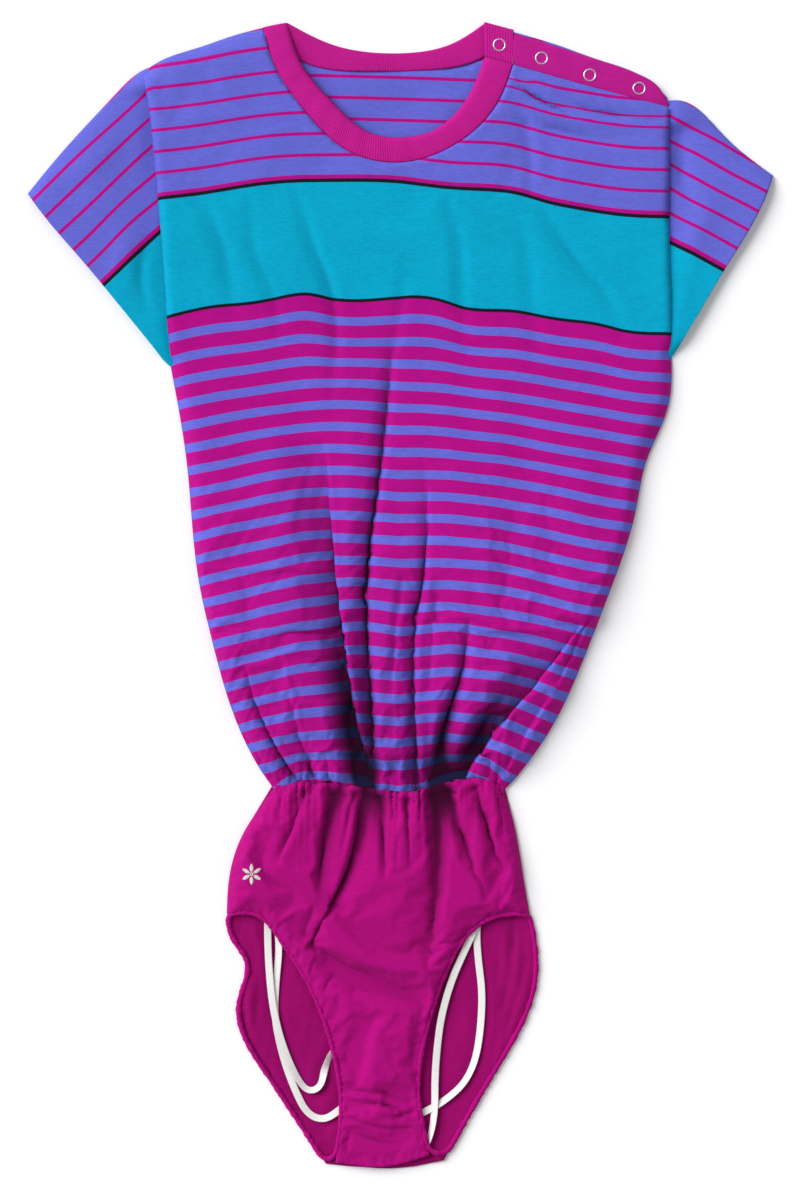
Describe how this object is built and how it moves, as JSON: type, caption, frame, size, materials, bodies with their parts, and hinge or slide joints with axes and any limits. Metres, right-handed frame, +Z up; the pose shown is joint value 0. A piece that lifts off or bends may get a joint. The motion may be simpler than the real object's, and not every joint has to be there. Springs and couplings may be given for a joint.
{
  "type": "gymnastics leotard",
  "caption": "Short-sleeved striped leotard lying flat, with a snap shoulder, gathered elastic waist, high-cut bound legs and hanger tapes.",
  "frame": {"origin": "middle of the box that the garment fills, on the surface that it lies on", "axes": "+X towards the wearer's left, +Y towards the neck, +Z up out of the front"},
  "size_m": [0.619, 0.9519, 0.015],
  "materials": {
    "striped_knit": "matte",
    "rib_knit": "matte",
    "placket_knit": "matte",
    "underlap_knit": "matte",
    "sewing_thread": "matte",
    "snap_metal": "satin",
    "brief_knit": "matte",
    "lining_knit": "matte",
    "knitted_elastic": "matte",
    "embroidery_thread": "satin",
    "satin_tape": "satin"
  },
  "bodies": {
    "bodice": {"front_bodice": "striped_knit", "back_bodice": "striped_knit", "front_neckband": "rib_knit", "back_neckband": "rib_knit", "shoulder_underlap": "underlap_knit", "snap_studs": "snap_metal", "snap_back_rings": "snap_metal", "waist_casing": "brief_knit", "waist_elastic": "knitted_elastic"},
    "shoulder_flap": {"shoulder_placket": "placket_knit", "neckband_tab": "rib_knit", "tab_bar_tack": "sewing_thread", "snap_front_rings": "snap_metal", "snap_sockets": "snap_metal"},
    "sleeve_right": {"right_sleeve": "striped_knit"},
    "sleeve_left": {"left_sleeve": "striped_knit"},
    "brief": {"front_brief": "brief_knit", "back_brief": "brief_knit", "crotch_lining": "lining_knit", "right_leg_binding": "brief_knit", "left_leg_binding": "brief_knit", "right_leg_elastic": "knitted_elastic", "left_leg_elastic": "knitted_elastic", "embroidered_motif": "embroidery_thread", "right_hanger_loop": "satin_tape", "left_hanger_loop": "satin_tape"}
  },
  "joints": [
    {"name": "shoulder_flap_opening", "type": "hinge", "parent": "bodice", "child": "shoulder_flap", "pos_m": [0.0935, 0.4383, 0.007], "axis": [0.9643, -0.2649, 0], "range_deg": [0, 110]},
    {"name": "right_sleeve_fold", "type": "hinge", "parent": "bodice", "child": "sleeve_right", "pos_m": [-0.1913, 0.19, 0.0102], "axis": [-0.092, 0.9958, 0], "range_deg": [0, 170]},
    {"name": "left_sleeve_fold", "type": "hinge", "parent": "bodice", "child": "sleeve_left", "pos_m": [0.2253, 0.197, 0.0102], "axis": [0.0146, -0.9999, 0], "range_deg": [0, 170]},
    {"name": "brief_fold", "type": "hinge", "parent": "bodice", "child": "brief", "pos_m": [-0.009, -0.1671, 0.0155], "axis": [-1, 0, 0], "range_deg": [0, 172]}
  ]
}
